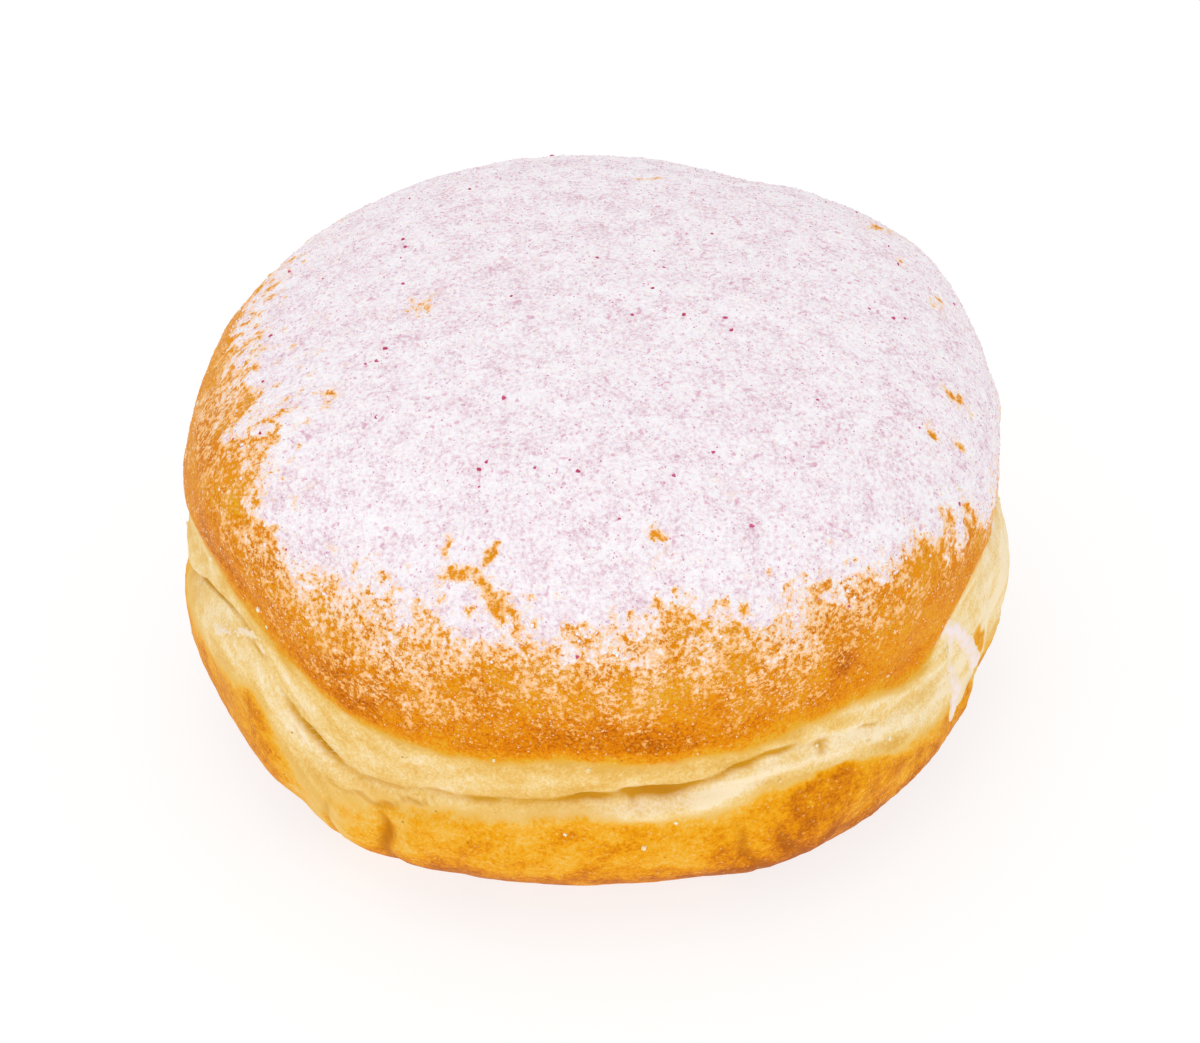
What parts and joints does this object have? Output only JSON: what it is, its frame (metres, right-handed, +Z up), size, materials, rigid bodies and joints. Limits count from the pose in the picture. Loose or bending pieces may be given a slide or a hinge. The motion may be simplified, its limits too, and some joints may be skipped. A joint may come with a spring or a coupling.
{
  "type": "jam doughnut",
  "caption": "Round, plump, uncut filled doughnut with a pale belt and crease between two browned halves, dusted on top with sugar.",
  "frame": {"origin": "middle of the flat spot that the doughnut rests on, at the middle of its outline", "axes": "+Z up through the top of the dome, -Y towards the front with the deep crease, +X to the front's right"},
  "size_m": [0.0892, 0.0882, 0.0511],
  "materials": {
    "dough": null
  },
  "bodies": {
    "root": {"doughnut": "dough"}
  },
  "joints": []
}
